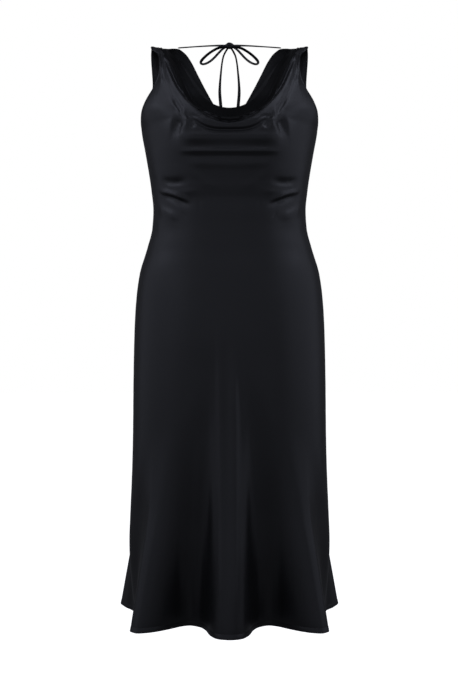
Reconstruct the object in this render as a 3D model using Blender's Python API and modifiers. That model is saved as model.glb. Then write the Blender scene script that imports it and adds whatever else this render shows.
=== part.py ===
"""Satin slip dress with a cowl neck and a tie at the nape, in the hollow shape that it has when worn.

+Z is up, the front faces -Y and +X is to the right of someone who looks at the front.
The origin lies midway between the two shoulder seams, level with their tops, where shoulders carry the dress.
"""

import math

import bmesh
import bpy
import numpy as np

MM = 0.001

# Driving sizes
WALL = 1.6 * MM  # the satin with its turned edges
SEAM_GAP = 0.3 * MM
STRING_WIDTH = 4.0 * MM
HEM_HEIGHT = -1250.0  # mm, level all round
NAPE_CENTRE = -149.0  # mm, the bottom of the back's V
SHOULDER_FADE = 110.0  # mm below the seam over which the shoulder's slope dies out
FLUTE_GROWTH = 1.6  # how slowly the flutes open out towards the hem
PANEL_COLUMNS = 36

# The worn form, all in mm. Each row is a level section: half an ellipse to the front and half to the back,
# held apart at the side by the armhole.
BODY_COLUMNS = ("height", "half_width", "front", "back", "armhole")
BODY = (
    (0, 171.0, 0, 0, 0),
    (-4, 172.5, 13, 34, 6),
    (-12, 173.2, 25, 62, 13),
    (-25, 173.5, 42, 80, 22),
    (-44, 172.8, 66, 96, 32),
    (-75, 171.5, 93, 110, 41),
    (-107, 177.0, 116, 119, 44),
    (-135, 187.0, 127, 124, 40),
    (-158, 192.0, 137, 126, 31),
    (-176, 192.6, 143, 126, 17),
    (-185, 192.0, 146, 126, 6),
    (-192, 191.2, 149, 126, 0),
    (-240, 182.0, 152, 119, 0),
    (-280, 175.2, 146, 111, 0),
    (-320, 169.6, 135, 105, 0),
    (-360, 166.2, 126, 103, 0),
    (-400, 168.8, 127, 109, 0),
    (-447, 181.0, 132, 123, 0),
    (-500, 197.0, 138, 141, 0),
    (-553, 204.3, 142, 153, 0),
    (-620, 208.4, 143, 158, 0),
    (-700, 210.5, 141, 156, 0),
    (-850, 212.2, 137, 150, 0),
    (-1000, 216.8, 140, 150, 0),
    (-1100, 229.0, 146, 155, 0),
    (-1180, 238.0, 151, 160, 0),
    (-1250, 245.0, 156, 165, 0),
)

# How far the shoulder line stands above the seams' level, in mm, from the neck out.
SHOULDER_COLUMNS = ("across", "rise")
SHOULDER = (
    (0, 60),
    (80, 45),
    (99, 31),
    (113.5, 20),
    (125, 11),
    (140, 1),
    (152, -3),
    (160, -2),
    (172, 0),
    (180, 0),
)

# The bias flutes of the skirt, in degrees from centre front round to centre back, and mm.
FLUTE_COLUMNS = ("turn", "out", "start")
FLUTES = (
    (0, 44, -690),
    (5, 36, -690),
    (9, 8, -700),
    (12.5, -36, -720),
    (17, -59, -760),
    (23, -62, -800),
    (29, -38, -830),
    (32, -2, -840),
    (35, 32, -850),
    (38, 44, -850),
    (42, 48, -850),
    (47, 40, -850),
    (53, 12, -860),
    (64, -30, -900),
    (80, -38, -1000),
    (93, -40, -1000),
    (106, -20, -860),
    (112, 10, -780),
    (120, 47, -740),
    (130, 30, -760),
    (141, -12, -800),
    (151, -34, -830),
    (161, -14, -800),
    (171, 24, -780),
    (180, 38, -780),
)

# Rows of the front from the cowl's free edge, over its roll and down to the hem. centre and end are heights
# in mm at centre front and at the row's end, which runs out along the shoulder seam, down the armhole and
# down the side. reach is the end's turn in degrees, flat how level the row hangs, and proud how far it stands
# off the form at the centre.
FRONT_COLUMNS = ("centre", "end", "reach", "flat", "proud")
FRONT_TOP = (
    (-162, 0, 58.0, 1.70, -28),
    (-178, 0, 59.3, 1.75, -26),
    (-193, 0, 60.6, 1.85, -17),
    (-195, 0, 61.9, 1.90, -3),
    (-191, 0, 63.1, 2.00, 8),
    (-200, 0, 67.0, 2.10, 11),
    (-212, 0, 74.0, 2.40, 1),
    (-226, 0, 90.0, 2.70, 5),
    (-241, -30, 90.0, 2.90, 1),
    (-256, -70, 90.0, 3.00, 4),
    (-272, -112, 90.0, 3.00, 0),
    (-292, -152, 90.0, 2.90, 0),
    (-316, -192, 90.0, 2.80, 0),
    (-345, -250, 90.0, 2.60, 0),
    (-374, -310, 90.0, 2.40, 0),
    (-402, -360, 90.0, 2.30, 0),
    (-433, -412, 90.0, 2.20, 0),
)

# Rows of the back from the V edge. ease is how far the row has lost the V's outline.
BACK_COLUMNS = ("centre", "end", "reach", "ease")
BACK_TOP = (
    (-149, 0, 63.1, 0.00),
    (-163, 0, 71.0, 0.32),
    (-179, 0, 90.0, 0.60),
    (-196, -30, 90.0, 0.82),
    (-214, -70, 90.0, 0.95),
    (-234, -112, 90.0, 1.00),
    (-256, -152, 90.0, 1.00),
    (-284, -192, 90.0, 1.00),
    (-322, -250, 90.0, 1.00),
    (-358, -310, 90.0, 1.00),
    (-392, -360, 90.0, 1.00),
    (-429, -412, 90.0, 1.00),
)
BACK_FLAT = 2.2

# Level rows that both panels share, down to the hem.
SKIRT_START = -470.0
SKIRT_ROWS = 15

# The free edge of the back on the form, from the bottom of the V up to the string's corner and out to the seam.
NAPE_COLUMNS = ("across", "height")
NAPE = (
    (0, -149),
    (10, -143),
    (22, -126),
    (31, -109),
    (45, -91),
    (61, -72.5),
    (77, -53.5),
    (90, -36.5),
    (99, -25),
    (116, -10),
    (132, -4),
    (142.5, -1.7),
    (153, 0),
)

# Fullness of the front over the bust, in mm.
BUST = {"across": 88.0, "height": -222.0, "out": 8.0, "spread": 52.0}

# The tie on the left side, in mm. The right side mirrors it.
SPAN_ROUTE = ((-115.4, 45.2, 9.6), (-80, 68.6, 18.2), (-45, 91.4, 26.4), (-7.3, 116.0, 35.35))
LOOP_ROUTE = (
    (-8.8, 118.2, 31.3),
    (-17.0, 118.8, 30.6),
    (-27.0, 120.4, 29.4),
    (-40.5, 121.8, 24.8),
    (-53, 122.6, 17.3),
    (-61.5, 123.2, 8.1),
    (-65.8, 123.4, -0.4),
    (-64.2, 123.0, -6.0),
    (-57.9, 122.2, -7.2),
    (-49.2, 121.4, -0.8),
    (-39.0, 120.6, 8.1),
    (-29.0, 119.6, 16.3),
    (-16.6, 117.6, 24.2),
    (-4.6, 116.2, 30.7),
)
TAIL_ROUTE = (
    (-3.9, 124.9, 31.3),
    (-10.2, 127.6, 22.0),
    (-14.6, 128.8, 12.0),
    (-18.2, 129.8, -4.0),
    (-21.0, 130.2, -24.0),
    (-23.2, 130.4, -50.0),
    (-24.2, 130.6, -72.0),
    (-22.8, 130.8, -96.0),
    (-19.6, 131.0, -122.0),
    (-17.4, 131.0, -150.0),
    (-17.0, 131.0, -182.0),
    (-18.6, 130.6, -218.0),
)
KNOT_CENTRE = (0.0, 120.8, 37.2)
KNOT_HALF = (9.5, 7.5, 6.6)
STRING_STEP = {"tie_span": 9.0, "bow_loop": 6.0, "tie_tail": 9.0}  # mm between points along each string
SIDES = {"left": 1.0, "right": -1.0}


def column(columns, rows, name):
    """One named column of a table, as an array."""
    return np.array([row[columns.index(name)] for row in rows], float)


def smooth_curve(stations, values):
    """A cubic through the points that never swings past them."""
    order = np.argsort(stations)
    x, y = stations[order], values[order]
    step = np.diff(x)
    rise = np.diff(y) / step
    slope = np.zeros(len(x))
    slope[0], slope[-1] = rise[0], rise[-1]
    for i in range(1, len(x) - 1):
        if rise[i - 1] * rise[i] > 0:
            near, far = 2 * step[i] + step[i - 1], step[i] + 2 * step[i - 1]
            slope[i] = (near + far) / (near / rise[i - 1] + far / rise[i])

    def at(place):
        place = min(max(place, x[0]), x[-1])
        i = min(max(int(np.searchsorted(x, place)) - 1, 0), len(step) - 1)
        u = (place - x[i]) / step[i]
        ends = y[i] * (1 + 2 * u) * (1 - u) ** 2 + y[i + 1] * u * u * (3 - 2 * u)
        return ends + step[i] * u * (1 - u) * (slope[i] * (1 - u) - slope[i + 1] * u)

    return at


def table_curve(columns, rows, along, name):
    """A smooth curve through one column of a table, read by another."""
    return smooth_curve(column(columns, rows, along), column(columns, rows, name))


def row_curves(columns, rows):
    """Smooth curves through each column of a panel's rows, read by the row's number."""
    numbers = np.arange(len(rows), dtype=float)
    return {name: smooth_curve(numbers, column(columns, rows, name)) for name in columns}


def smooth_step(share):
    share = min(max(share, 0.0), 1.0)
    return share * share * (3 - 2 * share)


half_width = table_curve(BODY_COLUMNS, BODY, "height", "half_width")
armhole = table_curve(BODY_COLUMNS, BODY, "height", "armhole")
depths = {side: table_curve(BODY_COLUMNS, BODY, "height", side) for side in ("front", "back")}
shoulder_rise = table_curve(SHOULDER_COLUMNS, SHOULDER, "across", "rise")
flute_out = table_curve(FLUTE_COLUMNS, FLUTES, "turn", "out")
flute_start = table_curve(FLUTE_COLUMNS, FLUTES, "turn", "start")


def skirt_rows(extra_values):
    """The level rows from the hips to the hem, ending with the values of a panel's own extra columns."""
    heights = np.linspace(SKIRT_START, HEM_HEIGHT, SKIRT_ROWS)
    return tuple((height, height, 90.0) + extra_values for height in heights)


def flute(turn, height):
    """How far the skirt's flutes stand off the form, at a turn in degrees from centre front."""
    start = flute_start(turn)
    share = min(max((start - height) / (start - HEM_HEIGHT), 0.0), 1.0)
    return flute_out(turn) * share**FLUTE_GROWTH


def bust_fullness(across, height):
    """A soft swelling over each side of the bust."""
    away = math.hypot(abs(across) - BUST["across"], height - BUST["height"]) / BUST["spread"]
    return BUST["out"] * math.exp(-away * away)


def form_point(side, turn, height, proud):
    """A point of the panel in metres: turn in radians from the panel's centre, height and proud in mm."""
    wide, gap, deep = half_width(height), armhole(height), depths[side](height)
    from_front = abs(math.degrees(turn))
    if side == "back":
        from_front = 180.0 - from_front
    out = proud + flute(from_front, height)
    if side == "front":
        out += bust_fullness(wide * math.sin(turn), height)
    facing = (deep * math.sin(turn), wide * math.cos(turn))
    length = math.hypot(*facing) or 1.0
    x = wide * math.sin(turn) + out * facing[0] / length
    y = gap + (deep - gap) * math.cos(turn) + out * facing[1] / length
    z = height + shoulder_rise(abs(x)) * (1 - smooth_step(-height / SHOULDER_FADE))
    forward = -1.0 if side == "front" else 1.0
    return (x * MM, forward * (y * MM), z * MM)


front_rows = row_curves(FRONT_COLUMNS, FRONT_TOP + skirt_rows((2.2, 0.0)))
back_rows = row_curves(BACK_COLUMNS, BACK_TOP + skirt_rows((1.0,)))
FRONT_ROW_COUNT = len(FRONT_TOP) + SKIRT_ROWS
BACK_ROW_COUNT = len(BACK_TOP) + SKIRT_ROWS


def hang(share, flat):
    """How much of its sag a hanging row has at a share of the way from its centre to its end."""
    return max(0.0, 1.0 - abs(share) ** flat) ** 1.5


def front_point(share, row):
    """The front panel: share runs from -1 at one side to 1 at the other, row from the cowl's edge down."""
    fall = hang(share, front_rows["flat"](row))
    end = front_rows["end"](row)
    height = end + (front_rows["centre"](row) - end) * fall
    turn = math.radians(share * front_rows["reach"](row))
    return form_point("front", turn, height, front_rows["proud"](row) * math.sqrt(fall))


def nape_fall(turn):
    """The V edge's own fall, as a share of its depth, at a turn in degrees from centre back."""
    across, height = (column(NAPE_COLUMNS, NAPE, name) for name in NAPE_COLUMNS)
    wide = np.array([half_width(level) for level in height])
    turns = np.degrees(np.arcsin(across / wide))
    return float(np.interp(abs(turn), turns, height)) / NAPE_CENTRE


def back_point(share, row):
    """The back panel: share runs from -1 at one side to 1 at the other, row from the V edge down."""
    ease, reach = back_rows["ease"](row), back_rows["reach"](row)
    nape_turn = share * BACK_TOP[0][BACK_COLUMNS.index("reach")]
    fall = (1 - ease) * nape_fall(nape_turn) + ease * hang(share, BACK_FLAT)
    end = back_rows["end"](row)
    height = end + (back_rows["centre"](row) - end) * fall
    return form_point("back", math.radians(share * reach), height, 0.0)


def cloth_material(name, colour, roughness):
    """A satin finish for one piece."""
    material = bpy.data.materials.new(name)
    material.use_nodes = True
    shader = material.node_tree.nodes["Principled BSDF"]
    shader.inputs["Base Color"].default_value = (*colour, 1.0)
    shader.inputs["Roughness"].default_value = roughness
    shader.inputs["Metallic"].default_value = 0.0
    material.diffuse_color = (*colour, 1.0)
    return material


def add_object(name, data, collection, material):
    """A new object in the dress's collection, with its one material."""
    piece = bpy.data.objects.new(name, data)
    collection.objects.link(piece)
    data.materials.clear()
    data.materials.append(material)
    return piece


def panel(name, point, row_count, seam_side, collection, material):
    """A cloth panel: a grid laid on its surface, given a wall, and cut true along the seams."""
    mesh = bpy.data.meshes.new(name)
    grid = bmesh.new()
    bmesh.ops.create_grid(grid, x_segments=PANEL_COLUMNS, y_segments=row_count - 1, size=1.0)
    for vertex in grid.verts:
        row = round((1.0 - vertex.co.y) / 2.0 * (row_count - 1))
        vertex.co = point(vertex.co.x, row)
    bmesh.ops.recalc_face_normals(grid, faces=grid.faces)
    grid.faces.ensure_lookup_table()
    centre_face = min(grid.faces, key=lambda face: abs(face.calc_center_median().x))
    if centre_face.normal.y * seam_side < 0:
        bmesh.ops.reverse_faces(grid, faces=grid.faces)
    grid.to_mesh(mesh)
    grid.free()

    sheet = add_object(name, mesh, collection, material)
    wall = sheet.modifiers.new("wall", "SOLIDIFY")
    wall.thickness = WALL
    wall.offset = -1.0
    wall.use_even_offset = True
    wall.use_quality_normals = True
    graph = bpy.context.evaluated_depsgraph_get()
    walled = bpy.data.meshes.new_from_object(sheet.evaluated_get(graph))
    sheet.modifiers.clear()
    sheet.data = walled
    bpy.data.meshes.remove(mesh)
    walled.name = name
    # Both panels end at the seam's own plane, half its gap to each side.
    for vertex in walled.vertices:
        if vertex.co.y * seam_side < SEAM_GAP / 2 and abs(vertex.co.y) < 2 * WALL:
            vertex.co.y = seam_side * SEAM_GAP / 2
    walled.shade_smooth()
    return sheet


def smooth_route(points, step):
    """Evenly spaced points, in metres, on a smooth curve through a string's own points, in mm."""
    fixed = np.array(points, float)
    padded = np.vstack([2 * fixed[0] - fixed[1], fixed, 2 * fixed[-1] - fixed[-2]])
    dense = []
    for i in range(1, len(padded) - 2):
        before, start, end, after = padded[i - 1 : i + 3]
        for u in np.linspace(0, 1, 12, endpoint=False):
            dense.append(
                0.5
                * (
                    2 * start
                    + (end - before) * u
                    + (2 * before - 5 * start + 4 * end - after) * u**2
                    + (3 * start - before - 3 * end + after) * u**3
                )
            )
    dense.append(fixed[-1])
    dense = np.array(dense)
    lengths = np.concatenate([[0], np.cumsum(np.linalg.norm(np.diff(dense, axis=0), axis=1))])
    places = np.linspace(0, lengths[-1], max(3, round(lengths[-1] / step) + 1))
    return np.stack([np.interp(places, lengths, dense[:, axis]) for axis in range(3)], axis=1) * MM


def string(kind, route, side, collection, material):
    """A round string along its route, with closed ends."""
    name = f"{kind}_{side}"
    curve = bpy.data.curves.new(name, "CURVE")
    curve.dimensions = "3D"
    curve.bevel_depth = STRING_WIDTH / 2
    curve.bevel_resolution = 2
    curve.use_fill_caps = True
    points = smooth_route(route, STRING_STEP[kind]) * (SIDES[side], 1.0, 1.0)
    spline = curve.splines.new("POLY")
    spline.points.add(len(points) - 1)
    for target, place in zip(spline.points, points):
        target.co = (*place, 1.0)
    return add_object(name, curve, collection, material)


def knot(name, collection, material):
    """The bow's knot: a small squashed ball of wrapped string."""
    mesh = bpy.data.meshes.new(name)
    ball = bmesh.new()
    bmesh.ops.create_uvsphere(ball, u_segments=16, v_segments=8, radius=1.0)
    for vertex in ball.verts:
        vertex.co = [
            (centre + half * value) * MM for centre, half, value in zip(KNOT_CENTRE, KNOT_HALF, vertex.co)
        ]
    ball.to_mesh(mesh)
    ball.free()
    mesh.shade_smooth()
    return add_object(name, mesh, collection, material)


def clear_scene():
    for old in list(bpy.data.objects):
        bpy.data.objects.remove(old, do_unlink=True)


def main():
    clear_scene()
    dress = bpy.data.collections.new("satin_slip_dress")
    bpy.context.scene.collection.children.link(dress)
    front_satin = cloth_material("front_satin", (0.012, 0.012, 0.015), 0.4)
    back_satin = cloth_material("back_satin", (0.011, 0.011, 0.014), 0.4)
    panel("front", front_point, FRONT_ROW_COUNT, -1.0, dress, front_satin)
    panel("back", back_point, BACK_ROW_COUNT, 1.0, dress, back_satin)
    for side in SIDES:
        satin = cloth_material(f"tie_satin_{side}", (0.01, 0.01, 0.012), 0.45)
        string("tie_span", SPAN_ROUTE, side, dress, satin)
        string("bow_loop", LOOP_ROUTE, side, dress, satin)
        string("tie_tail", TAIL_ROUTE, side, dress, satin)
    knot("bow_knot", dress, cloth_material("knot_satin", (0.01, 0.01, 0.012), 0.45))


main()
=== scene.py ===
import math

import bmesh
import bpy
import numpy as np
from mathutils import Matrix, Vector


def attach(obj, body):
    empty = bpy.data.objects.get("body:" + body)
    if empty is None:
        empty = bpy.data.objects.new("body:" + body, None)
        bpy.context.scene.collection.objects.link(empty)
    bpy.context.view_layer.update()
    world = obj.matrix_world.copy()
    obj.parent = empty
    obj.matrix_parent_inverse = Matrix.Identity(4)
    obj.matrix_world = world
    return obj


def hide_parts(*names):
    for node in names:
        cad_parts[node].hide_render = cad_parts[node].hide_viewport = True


# Black satin slip dress with a cowl neck and a tied nape, hollow, in the shape that it has when worn.
# Metres, +Z up, the front faces -Y. The tables are in mm, in the same frame as the part.

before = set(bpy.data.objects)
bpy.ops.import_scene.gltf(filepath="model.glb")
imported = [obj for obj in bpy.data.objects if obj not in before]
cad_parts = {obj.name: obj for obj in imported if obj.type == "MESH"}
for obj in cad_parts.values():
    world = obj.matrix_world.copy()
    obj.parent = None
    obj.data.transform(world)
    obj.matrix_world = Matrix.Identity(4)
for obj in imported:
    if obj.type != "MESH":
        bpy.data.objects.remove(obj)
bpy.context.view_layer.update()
mm = 0.001

# The camera stands level, straight in front, as high as the middle of the picture.
cameraView = {
    "across": -0.0011, "distance": 2.3, "height": -0.6545, "seenHeight": 1.5136, "sensor": 36.0,
    "near": 0.05, "far": 30.0,
}

cameraData = bpy.data.cameras.new("dressCamera")
camera = bpy.data.objects.new("dressCamera", cameraData)
bpy.context.scene.collection.objects.link(camera)
camera.location = (cameraView["across"], -cameraView["distance"], cameraView["height"])
camera.rotation_euler = (math.radians(90), 0, 0)
cameraData.sensor_width = cameraView["sensor"]
cameraData.lens = cameraView["sensor"] * cameraView["distance"] / cameraView["seenHeight"]
cameraData.clip_start = cameraView["near"]
cameraData.clip_end = cameraView["far"]
bpy.context.scene.camera = camera
print("camera placed")


def smoothCurve(stations, values):
    # a cubic through the points that never swings past them, for whole arrays at once
    order = np.argsort(stations)
    x, y = np.array(stations, float)[order], np.array(values, float)[order]
    step = np.diff(x)
    rise = np.diff(y) / step
    slope = np.zeros(len(x))
    slope[0], slope[-1] = rise[0], rise[-1]
    for i in range(1, len(x) - 1):
        if rise[i - 1] * rise[i] > 0:
            near, far = 2 * step[i] + step[i - 1], step[i] + 2 * step[i - 1]
            slope[i] = (near + far) / (near / rise[i - 1] + far / rise[i])

    def at(place):
        place = np.clip(place, x[0], x[-1])
        i = np.clip(np.searchsorted(x, place) - 1, 0, len(step) - 1)
        u = (place - x[i]) / step[i]
        ends = y[i] * (1 + 2 * u) * (1 - u) ** 2 + y[i + 1] * u * u * (3 - 2 * u)
        return ends + step[i] * u * (1 - u) * (slope[i] * (1 - u) - slope[i + 1] * u)

    return at


def smoothStep(share):
    share = np.clip(share, 0.0, 1.0)
    return share * share * (3 - 2 * share)


def tableCurves(columns, rows, along=None):
    # a smooth curve through each column of a table, read by the column named along, or by the row's number
    table = np.array(rows, float)
    stations = np.arange(len(rows)) if along is None else table[:, columns.index(along)]
    return {name: smoothCurve(stations, table[:, i]) for i, name in enumerate(columns) if name != along}


def smoothRoute(points, step):
    # evenly spaced places on a smooth curve through points in mm; further columns follow along
    fixed = np.array(points, float)
    padded = np.vstack([2 * fixed[0] - fixed[1], fixed, 2 * fixed[-1] - fixed[-2]])
    u = np.linspace(0, 1, 12, endpoint=False)[:, None]  # twelve places on each stretch
    dense = []
    for i in range(1, len(padded) - 2):
        before, start, end, after = padded[i - 1 : i + 3]
        dense.append(
            0.5
            * (
                2 * start
                + (end - before) * u
                + (2 * before - 5 * start + 4 * end - after) * u**2
                + (3 * start - before - 3 * end + after) * u**3
            )
        )
    dense = np.vstack(dense + [fixed[-1:]])
    lengths = np.concatenate([[0], np.cumsum(np.linalg.norm(np.diff(dense[:, :3], axis=0), axis=1))])
    places = np.linspace(0, lengths[-1], max(3, round(lengths[-1] / step) + 1))
    return np.stack([np.interp(places, lengths, column) for column in dense.T], axis=1)


def addPiece(name, mesh, *materials):
    piece = bpy.data.objects.new(name, mesh)
    bpy.context.scene.collection.objects.link(piece)
    for material in materials:
        mesh.materials.append(material)
    return piece


def addSockets(group, inputs, outputs):
    # a node group's inputs with their starting values, and its outputs
    for name, kind, value in inputs:
        socket = group.interface.new_socket(name, in_out="INPUT", socket_type="NodeSocket" + kind)
        if value is not None:
            socket.default_value = value
    for name, kind in outputs:
        group.interface.new_socket(name, in_out="OUTPUT", socket_type="NodeSocket" + kind)


def mathNode(tree, operation, *values):
    # a maths node's result; each value is a number or the output that feeds it
    node = tree.nodes.new("ShaderNodeMath")
    node.operation = operation
    for socket, value in zip(node.inputs, values):
        if isinstance(value, bpy.types.NodeSocket):
            tree.links.new(value, socket)
        else:
            socket.default_value = value
    return node.outputs[0]


# What a satin, its dull side and a thread have in common: an uneven weave that shades, dulls and lifts the
# surface.
weaving = {"yarnDetail": 1.0, "yarnRoughness": 0.4, "cloudScale": 14.0, "cloudDetail": 2.0, "cloudShare": 0.5}


def weaveGroup():
    group = bpy.data.node_groups.new("clothWeave", "ShaderNodeTree")
    inputs = (
        ("Place", "Vector", None),
        ("Yarns per metre", "Float", 900.0),
        ("Float length", "Float", 8.0),
        ("Colour", "Color", (0.01, 0.01, 0.01, 1)),
        ("Colour change", "Float", 0.2),
        ("Roughness", "Float", 0.4),
        ("Roughness change", "Float", 0.05),
    )
    addSockets(group, inputs, (("Colour", "Color"), ("Roughness", "Float"), ("Height", "Float")))
    nodes, links = group.nodes, group.links
    given, made = nodes.new("NodeGroupInput"), nodes.new("NodeGroupOutput")

    # the yarns are drawn out along one direction, as a satin's floats are
    stretch = nodes.new("ShaderNodeCombineXYZ")
    links.new(mathNode(group, "DIVIDE", 1.0, given.outputs["Float length"]), stretch.inputs["X"])
    stretch.inputs["Y"].default_value = 1.0
    stretch.inputs["Z"].default_value = 1.0
    place = nodes.new("ShaderNodeVectorMath")
    place.operation = "MULTIPLY"
    links.new(given.outputs["Place"], place.inputs[0])
    links.new(stretch.outputs[0], place.inputs[1])
    yarns = nodes.new("ShaderNodeTexNoise")
    yarns.inputs["Detail"].default_value = weaving["yarnDetail"]
    yarns.inputs["Roughness"].default_value = weaving["yarnRoughness"]
    links.new(place.outputs[0], yarns.inputs["Vector"])
    links.new(given.outputs["Yarns per metre"], yarns.inputs["Scale"])

    # larger clouds, mixed with the yarns and centred on zero
    clouds = nodes.new("ShaderNodeTexNoise")
    clouds.inputs["Scale"].default_value = weaving["cloudScale"]
    clouds.inputs["Detail"].default_value = weaving["cloudDetail"]
    links.new(given.outputs["Place"], clouds.inputs["Vector"])
    yarnPart = mathNode(group, "MULTIPLY", yarns.outputs["Fac"], 1 - weaving["cloudShare"])
    both = mathNode(group, "MULTIPLY_ADD", clouds.outputs["Fac"], weaving["cloudShare"], yarnPart)
    centred = mathNode(group, "SUBTRACT", both, 0.5)

    change = given.outputs["Roughness change"]
    dull = mathNode(group, "MULTIPLY_ADD", centred, change, given.outputs["Roughness"])
    shade = mathNode(group, "MULTIPLY_ADD", centred, given.outputs["Colour change"], 1.0)
    tint = nodes.new("ShaderNodeVectorMath")
    tint.operation = "SCALE"
    links.new(given.outputs["Colour"], tint.inputs[0])
    links.new(shade, tint.inputs["Scale"])
    links.new(tint.outputs[0], made.inputs["Colour"])
    links.new(dull, made.inputs["Roughness"])
    links.new(yarns.outputs["Fac"], made.inputs["Height"])
    return group


clothWeave = weaveGroup()


def clothMaterial(name, look):
    # a Principled surface with the weave's colour, roughness and relief, turned to the cloth's grain
    material = bpy.data.materials.new(name)
    material.use_nodes = True
    nodes, links = material.node_tree.nodes, material.node_tree.links
    shader = nodes["Principled BSDF"]
    place = nodes.new("ShaderNodeUVMap")
    place.uv_map = "cloth"
    turn = nodes.new("ShaderNodeMapping")
    turn.inputs["Rotation"].default_value = (0, 0, math.radians(look["grain"]))
    links.new(place.outputs[0], turn.inputs["Vector"])
    weave = nodes.new("ShaderNodeGroup")
    weave.node_tree = clothWeave
    weave.inputs["Colour"].default_value = (*look["colour"], 1)
    for socket, key in (
        ("Yarns per metre", "yarns"), ("Float length", "floats"), ("Colour change", "colourChange"),
        ("Roughness", "roughness"), ("Roughness change", "roughnessChange"),
    ):
        weave.inputs[socket].default_value = look[key]
    links.new(turn.outputs[0], weave.inputs["Place"])
    links.new(weave.outputs["Colour"], shader.inputs["Base Color"])
    links.new(weave.outputs["Roughness"], shader.inputs["Roughness"])
    relief = nodes.new("ShaderNodeBump")
    relief.inputs["Strength"].default_value = look["relief"]
    relief.inputs["Distance"].default_value = look["reliefHeight"]
    links.new(weave.outputs["Height"], relief.inputs["Height"])
    links.new(relief.outputs[0], shader.inputs["Normal"])
    shader.inputs["Specular IOR Level"].default_value = look["shine"]
    return material


satinLook = {
    "grain": 45, "yarns": 900, "floats": 8, "colour": (0.0075, 0.0075, 0.0080), "colourChange": 0.5,
    "roughness": 0.38, "roughnessChange": 0.10, "relief": 0.10, "reliefHeight": 0.0002, "shine": 0.5,
}
# the front's dull side, coloured far darker than the back's inside: it is the front's real inner side, and
# its dark colour is also painted shade where it covers the cowl's facing inside the crest
dullSideAndShadeLook = {
    **satinLook, "yarns": 700, "floats": 2, "colour": (0.0024, 0.0024, 0.0023),
    "roughness": 0.45, "relief": 0.25, "shine": 0.12,
}
insideLook = {**dullSideAndShadeLook, "colour": (0.0150, 0.0150, 0.0145), "roughness": 0.55, "shine": 0.5}
stringLook = {
    **satinLook, "floats": 6, "colour": (0.0060, 0.0060, 0.0065), "colourChange": 0.4,
    "roughness": 0.50, "relief": 0.15, "shine": 0.4,
}
frontSatin = clothMaterial("frontSatin", satinLook)
backSatin = clothMaterial("backSatin", satinLook)
dullSideAndShade = clothMaterial("satinDullSideAndShade", dullSideAndShadeLook)
backInside = clothMaterial("satinInside", insideLook)
tieSatin = clothMaterial("tieSatin", stringLook)
print("materials made")

# Each string of the tie is one narrow flat tube: from the back's corner to the knot, round the crossing, out
# round the loop, through the crossing again and down as the tail. turned is its flat side's turn from facing
# the front, in degrees.
tie = {
    "width": 7.4, "thick": 2.9, "across": 4.8, "sides": 12, "step": 2.2, "tip": 0.45, "tipGrowth": 0.4,
    "columns": ("x", "y", "z", "turned"),
    "route": (
        (-115.4, 45.2, 9.6, 78), (-80, 68.6, 18.8, 66), (-45, 91.4, 27.4, 54), (-20, 107.8, 32.8, 42),
        (-7.3, 116.0, 35.35, 46), (0.5, 120.4, 38.4, 46), (5.4, 123.4, 36.6, 46), (4.2, 123.2, 33.0, 50),
        (-1.6, 120.4, 31.4, 50),
        (-8.8, 118.2, 32.6, 50), (-17.0, 118.8, 32.4, 52), (-28.0, 120.4, 29.8, 52), (-40.5, 121.8, 23.4, 52),
        (-51.6, 122.6, 15.6, 48), (-61.3, 123.2, 6.6, 42), (-66.2, 123.4, -0.2, 38), (-65.4, 123.0, -4.8, 38),
        (-58.5, 122.2, -6.0, 38), (-47.6, 121.4, -1.6, 36), (-37.2, 120.6, 6.4, 36), (-27.4, 119.6, 16.4, 36),
        (-17.6, 117.6, 26.0, 40), (-6.6, 116.2, 32.2, 52),
        (2.0, 118.4, 34.4, 66), (4.0, 122.6, 35.0, 70), (0.4, 125.2, 34.0, 72),
        (-3.9, 124.9, 31.3, 70), (-10.2, 127.6, 22.0, 70), (-14.5, 128.8, 12.0, 70), (-17.6, 129.8, -4.0, 68),
        (-19.8, 130.2, -24.0, 62), (-22.0, 130.4, -50.0, 46), (-22.5, 130.6, -72.0, 20),
        (-20.7, 130.8, -96.0, 0), (-18.4, 131.0, -122.0, 12), (-17.0, 131.0, -150.0, 40),
        (-17.0, 131.0, -182.0, 38), (-18.6, 130.6, -218.0, 56),
    ),
}


def tubeFaces(count, sides):
    # the faces of a tube of count rings, closed at both ends
    faces = [
        (r * sides + s, r * sides + (s + 1) % sides, (r + 1) * sides + (s + 1) % sides, (r + 1) * sides + s)
        for r in range(count - 1)
        for s in range(sides)
    ]
    return faces + [tuple(range(sides))[::-1], tuple((count - 1) * sides + s for s in range(sides))]


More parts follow.
